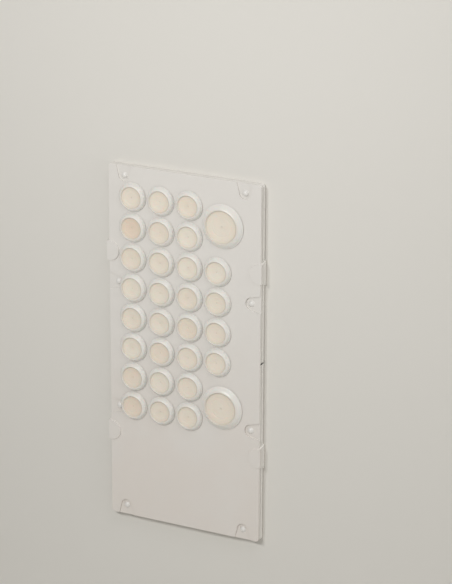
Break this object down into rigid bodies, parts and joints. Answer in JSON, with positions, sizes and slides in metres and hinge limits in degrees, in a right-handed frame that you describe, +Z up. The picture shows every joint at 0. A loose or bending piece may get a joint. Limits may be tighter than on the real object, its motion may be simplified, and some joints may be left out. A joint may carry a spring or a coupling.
{
  "type": "cable entry plate",
  "caption": "Flat moulded cover plate for an enclosure wall, with rows of round push-in membrane grommets that are pierced to let cables through and a seal strip behind its rim.",
  "frame": {"origin": "centre of the plate, on the wall plane that the seal and the fixing bosses touch", "axes": "+Z up along the plate's height, +X to the right seen from the front, +Y into the wall, so the front faces -Y"},
  "size_m": [0.153, 0.0132, 0.332],
  "materials": {
    "plate": "fine spark-eroded grain, pale warm grey",
    "grommet": "smooth milky elastomer, cream where the membrane is thin",
    "seal": "grey closed-cell foam strip"
  },
  "bodies": {
    "root": {"entry_plate": "plate", "wall_seal": "seal", "grommet_small_r1_c1": "grommet", "grommet_small_r2_c1": "grommet", "grommet_small_r3_c1": "grommet", "grommet_small_r4_c1": "grommet", "grommet_small_r5_c1": "grommet", "grommet_small_r6_c1": "grommet", "grommet_small_r7_c1": "grommet", "grommet_small_r8_c1": "grommet", "grommet_small_r1_c2": "grommet", "grommet_small_r2_c2": "grommet", "grommet_small_r3_c2": "grommet", "grommet_small_r4_c2": "grommet", "grommet_small_r5_c2": "grommet", "grommet_small_r6_c2": "grommet", "grommet_small_r7_c2": "grommet", "grommet_small_r8_c2": "grommet", "grommet_small_r1_c3": "grommet", "grommet_small_r2_c3": "grommet", "grommet_small_r3_c3": "grommet", "grommet_small_r4_c3": "grommet", "grommet_small_r5_c3": "grommet", "grommet_small_r6_c3": "grommet", "grommet_small_r7_c3": "grommet", "grommet_small_r8_c3": "grommet", "grommet_small_r3_c4": "grommet", "grommet_small_r4_c4": "grommet", "grommet_small_r5_c4": "grommet", "grommet_small_r6_c4": "grommet", "grommet_large_top": "grommet", "grommet_large_bottom": "grommet"}
  },
  "joints": []
}
